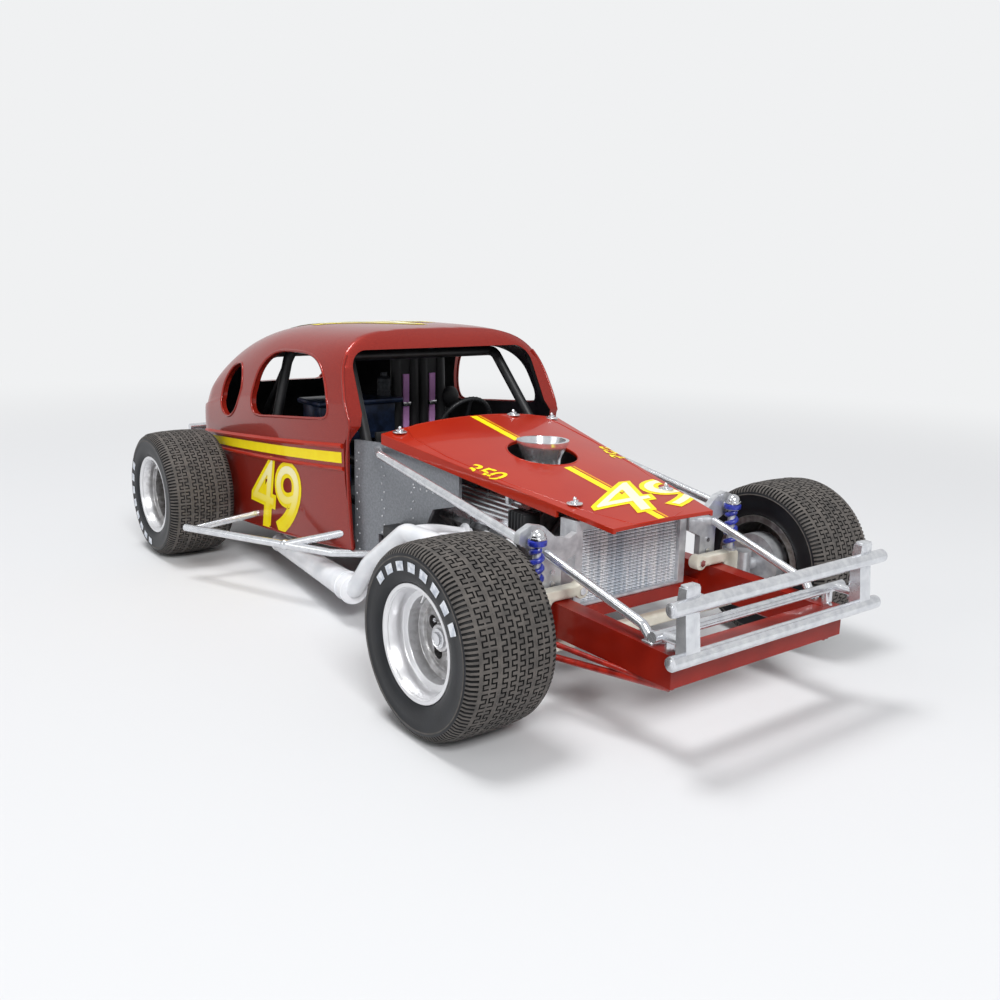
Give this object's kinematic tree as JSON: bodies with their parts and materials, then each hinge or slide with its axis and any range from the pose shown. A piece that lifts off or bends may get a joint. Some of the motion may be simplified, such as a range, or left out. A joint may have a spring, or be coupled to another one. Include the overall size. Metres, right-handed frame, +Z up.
{
  "type": "scale model of a modified coupe stock car",
  "caption": "Display model of an open-wheel modified stock car: coupe body on an exposed frame, wide slick tyres that turn, tube bumpers, side headers and a hollow cabin with roll cage and seat",
  "frame": {"origin": "on the ground, under the middle of the model's length and width", "axes": "+X to the car's left side, +Y from nose to tail, +Z up; the nose points along -Y"},
  "size_m": [0.0856, 0.1618, 0.0516],
  "materials": {
    "body_maroon": "glossy metallic maroon paint over plastic",
    "hood_red": "glossy bright red paint over plastic",
    "frame_red": "satin dark red paint over plastic",
    "tyre_rubber": "matt black with worn tread",
    "wheel_silver": "satin silver paint over plastic",
    "tube_silver": "bright silver paint over plastic",
    "panel_grey": "satin gunmetal paint over plastic",
    "black_plastic": "satin black plastic",
    "axle_ivory": "satin ivory plastic",
    "header_white": "glossy white paint over plastic",
    "spring_blue": "blue paint over plastic",
    "rod_red": "satin red plastic",
    "belt_lilac": "matt lilac tape",
    "engine_grey": "satin cast grey paint over plastic",
    "polished_metal": "bright plated plastic",
    "core_dark": "satin dark grey plastic"
  },
  "bodies": {
    "car": {"body_shell": "body_maroon", "hood": "hood_red", "frame_rails": "frame_red", "front_axle": "axle_ivory", "knuckle_right": "panel_grey", "knuckle_left": "panel_grey", "shock_tower_right": "panel_grey", "shock_tower_left": "panel_grey", "front_coilover_right": "spring_blue", "front_coilover_left": "spring_blue", "front_radius_rods_right": "rod_red", "front_radius_rods_left": "rod_red", "radiator": "core_dark", "radiator_support": "panel_grey", "floor_pan": "panel_grey", "rear_tub": "black_plastic", "firewall": "panel_grey", "cowl_panel_right": "panel_grey", "cowl_panel_left": "panel_grey", "roll_cage": "black_plastic", "seat": "black_plastic", "harness": "belt_lilac", "steering_wheel": "black_plastic", "steering_column": "black_plastic", "engine_block": "engine_grey", "cylinder_head_right": "engine_grey", "cylinder_head_left": "engine_grey", "valve_cover_right": "polished_metal", "valve_cover_left": "polished_metal", "intake_manifold": "engine_grey", "velocity_stack": "polished_metal", "gearbox": "engine_grey", "driveshaft": "panel_grey", "header_right": "header_white", "header_left": "header_white", "side_tank": "black_plastic", "fuel_cell": "black_plastic", "side_brace_right": "tube_silver", "side_brace_left": "tube_silver", "front_brace_right": "tube_silver", "front_brace_left": "tube_silver", "front_bumper": "tube_silver", "rear_bumper": "tube_silver", "side_guard_right": "tube_silver", "side_guard_left": "tube_silver", "rear_axle": "axle_ivory", "rear_coilover_right": "spring_blue", "rear_coilover_left": "spring_blue", "trailing_arm_right": "rod_red", "trailing_arm_left": "rod_red"},
    "wheel_front_right": {"rim_front_right": "wheel_silver", "tyre_front_right": "tyre_rubber"},
    "wheel_front_left": {"rim_front_left": "wheel_silver", "tyre_front_left": "tyre_rubber"},
    "wheel_rear_right": {"rim_rear_right": "wheel_silver", "tyre_rear_right": "tyre_rubber"},
    "wheel_rear_left": {"rim_rear_left": "wheel_silver", "tyre_rear_left": "tyre_rubber"}
  },
  "joints": [
    {"name": "front_right_spin", "type": "hinge", "parent": "car", "child": "wheel_front_right", "pos_m": [-0.0354, -0.0526, 0.0138], "axis": [1, 0, 0], "continuous": true},
    {"name": "front_left_spin", "type": "hinge", "parent": "car", "child": "wheel_front_left", "pos_m": [0.0354, -0.0526, 0.0138], "axis": [1, 0, 0], "continuous": true},
    {"name": "rear_right_spin", "type": "hinge", "parent": "car", "child": "wheel_rear_right", "pos_m": [-0.0336, 0.0554, 0.0135], "axis": [1, 0, 0], "continuous": true},
    {"name": "rear_left_spin", "type": "hinge", "parent": "car", "child": "wheel_rear_left", "pos_m": [0.0336, 0.0554, 0.0135], "axis": [1, 0, 0], "continuous": true}
  ]
}
